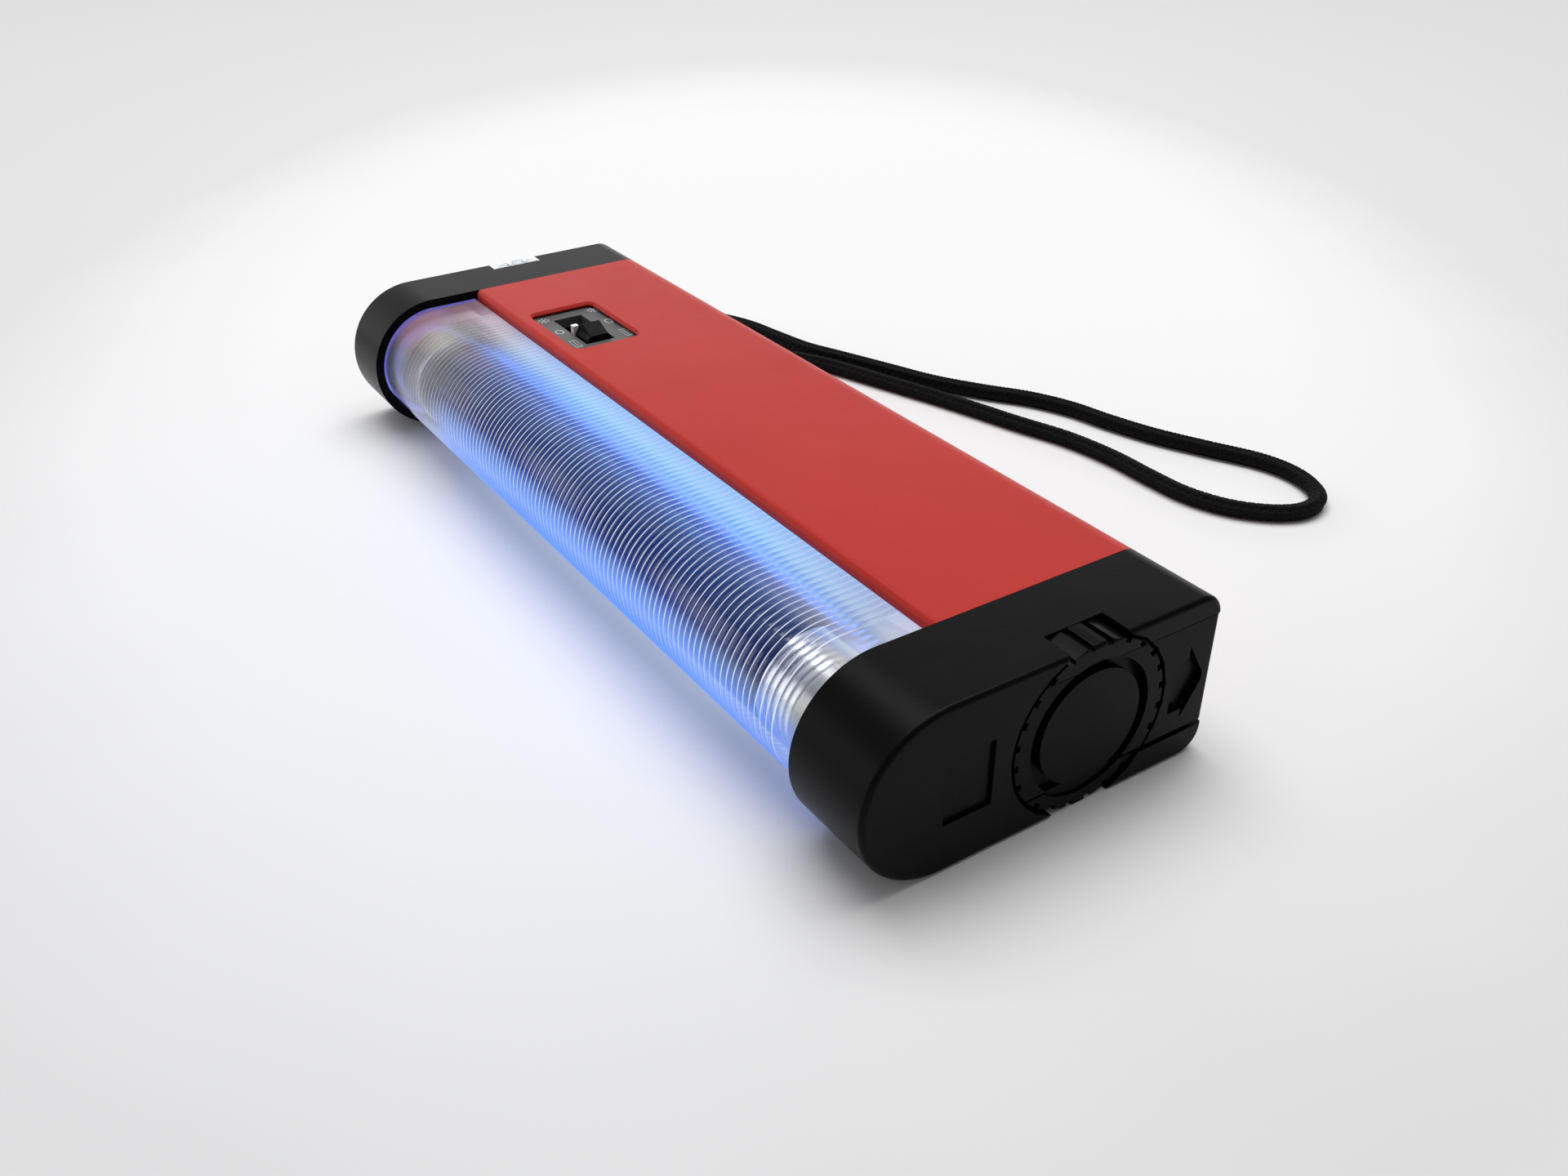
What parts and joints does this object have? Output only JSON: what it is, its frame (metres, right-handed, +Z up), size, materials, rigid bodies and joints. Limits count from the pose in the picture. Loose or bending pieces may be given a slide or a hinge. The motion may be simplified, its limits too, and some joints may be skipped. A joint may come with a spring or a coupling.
{
  "type": "hand-held battery lamp",
  "caption": "Pocket emergency lamp: a fluorescent tube behind a ribbed lens along one side, a torch in the end, a slide switch, a sliding battery door and a wrist lanyard.",
  "frame": {"origin": "centre of the flat underside of the case, without the lanyard", "axes": "+X from the lens side to the battery side, +Y from the battery door to the torch, +Z up"},
  "size_m": [0.1269, 0.1744, 0.0253],
  "materials": {
    "red_plastic": "satin moulded plastic",
    "black_plastic": "fine spark-eroded texture",
    "door_plastic": "fine spark-eroded texture",
    "knob_plastic": "satin",
    "grey_plastic": "satin",
    "white_plastic": "satin",
    "bulkhead_plastic": "satin",
    "clear_lens": "clear and polished",
    "torch_clear": "clear and polished",
    "tube_glass": "dark violet glass",
    "bulb_glass": "clear glass",
    "tube_metal": "rolled",
    "contact_brass": "stamped",
    "nickel_strip": "nickel plated",
    "screw_steel": "zinc plated",
    "switch_steel": "tinned",
    "mirror_sheet": "polished",
    "cell_jacket": "printed film",
    "board_laminate": "lacquered",
    "ferrite": "sintered",
    "winding_tape": "polyester tape",
    "component_black": "moulded resin",
    "capacitor_sleeve": "shrink sleeve",
    "film_capacitor_resin": "dipped resin",
    "resistor_lacquer": "lacquer",
    "lead_blue": "insulation",
    "lead_red": "insulation",
    "black_braid": "braided"
  },
  "bodies": {
    "housing": {"upper_shell": "red_plastic", "lower_shell": "red_plastic", "near_end_cap": "black_plastic", "far_end_cap": "black_plastic", "case_screws": "screw_steel", "ribbed_lens": "clear_lens", "lamp_reflector": "mirror_sheet", "tube_glass": "tube_glass", "tube_end_caps": "tube_metal", "tube_pins": "contact_brass", "near_lamp_holder": "white_plastic", "far_lamp_holder": "white_plastic", "lamp_holder_contacts": "contact_brass", "cell_near_left": "cell_jacket", "cell_near_right": "cell_jacket", "cell_far_left": "cell_jacket", "cell_far_right": "cell_jacket", "cell_buttons": "nickel_strip", "battery_bulkhead": "bulkhead_plastic", "negative_spring": "nickel_strip", "positive_contact": "nickel_strip", "circuit_board": "board_laminate", "board_screws": "screw_steel", "transformer_core": "ferrite", "transformer_winding": "winding_tape", "power_transistor": "component_black", "electrolytic_capacitor": "capacitor_sleeve", "film_capacitor": "film_capacitor_resin", "resistors": "resistor_lacquer", "switch_case": "switch_steel", "switch_plate": "grey_plastic", "torch_reflector": "mirror_sheet", "bulb_glass": "bulb_glass", "bulb_base": "contact_brass", "bulb_holder": "white_plastic", "bulb_contact": "contact_brass", "lamp_lead": "lead_blue", "battery_lead": "lead_red", "lanyard_knot": "black_braid", "lanyard": "black_braid"},
    "door": {"battery_door": "door_plastic", "door_contact": "nickel_strip"},
    "switch": {"switch_knob": "knob_plastic", "switch_slider": "white_plastic"},
    "torch_front": {"torch_lens": "torch_clear"}
  },
  "joints": [
    {"name": "door_slide", "type": "slide", "parent": "housing", "child": "door", "axis": [1, 0, 0], "range_m": [0, 0.034]},
    {"name": "switch_slide", "type": "slide", "parent": "housing", "child": "switch", "axis": [0, 1, 0], "range_m": [0, 0.0064]},
    {"name": "torch_lens_turn", "type": "hinge", "parent": "housing", "child": "torch_front", "pos_m": [0.0066, 0.0775, 0.012], "axis": [0, 1, 0], "range_deg": [0, 40]}
  ]
}
